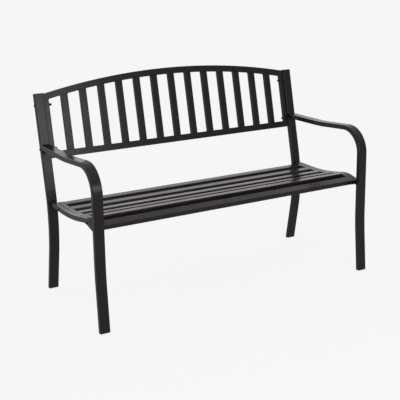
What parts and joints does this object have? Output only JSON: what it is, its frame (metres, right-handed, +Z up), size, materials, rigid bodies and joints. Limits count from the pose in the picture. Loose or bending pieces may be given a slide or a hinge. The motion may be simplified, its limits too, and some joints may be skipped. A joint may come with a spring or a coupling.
{
  "type": "patio loveseat bench",
  "caption": "Outdoor bench seat of flat steel tube with curved armrests, a slatted seat and an arched, reclined slatted back between two side frames.",
  "frame": {"origin": "on the floor, under the middle of the bench's bounding box", "axes": "+X along the bench towards the end on the right of a viewer in front, +Y from the front to the back, +Z up"},
  "size_m": [1.2766, 0.615, 0.8775],
  "materials": {
    "bench_coat": "satin powder coat",
    "black_plastic": "fine matt grain",
    "dark_hardware": "black oxide, semi-matt"
  },
  "bodies": {
    "root": {"arm_leg_left": "bench_coat", "arm_leg_right": "bench_coat", "back_bolts": "dark_hardware", "back_bottom_rail": "bench_coat", "back_end_tube_left": "bench_coat", "back_end_tube_right": "bench_coat", "back_slat_01": "bench_coat", "back_slat_02": "bench_coat", "back_slat_03": "bench_coat", "back_slat_04": "bench_coat", "back_slat_05": "bench_coat", "back_slat_06": "bench_coat", "back_slat_07": "bench_coat", "back_slat_08": "bench_coat", "back_slat_09": "bench_coat", "back_slat_10": "bench_coat", "back_slat_11": "bench_coat", "back_slat_12": "bench_coat", "back_slat_13": "bench_coat", "back_top_rail": "bench_coat", "cap_nuts": "dark_hardware", "front_foot_left": "black_plastic", "front_foot_right": "black_plastic", "post_cap_left": "black_plastic", "post_cap_right": "black_plastic", "rear_foot_left": "black_plastic", "rear_foot_right": "black_plastic", "rear_post_left": "bench_coat", "rear_post_right": "bench_coat", "seat_bolts": "dark_hardware", "seat_centre_strap": "bench_coat", "seat_end_rail_left": "bench_coat", "seat_end_rail_right": "bench_coat", "seat_rail_plugs": "black_plastic", "seat_slat_1": "bench_coat", "seat_slat_2": "bench_coat", "seat_slat_3": "bench_coat", "seat_slat_4": "bench_coat", "seat_slat_5": "bench_coat", "seat_slat_6": "bench_coat", "seat_support_rail_left": "bench_coat", "seat_support_rail_right": "bench_coat", "washers": "dark_hardware"}
  },
  "joints": []
}
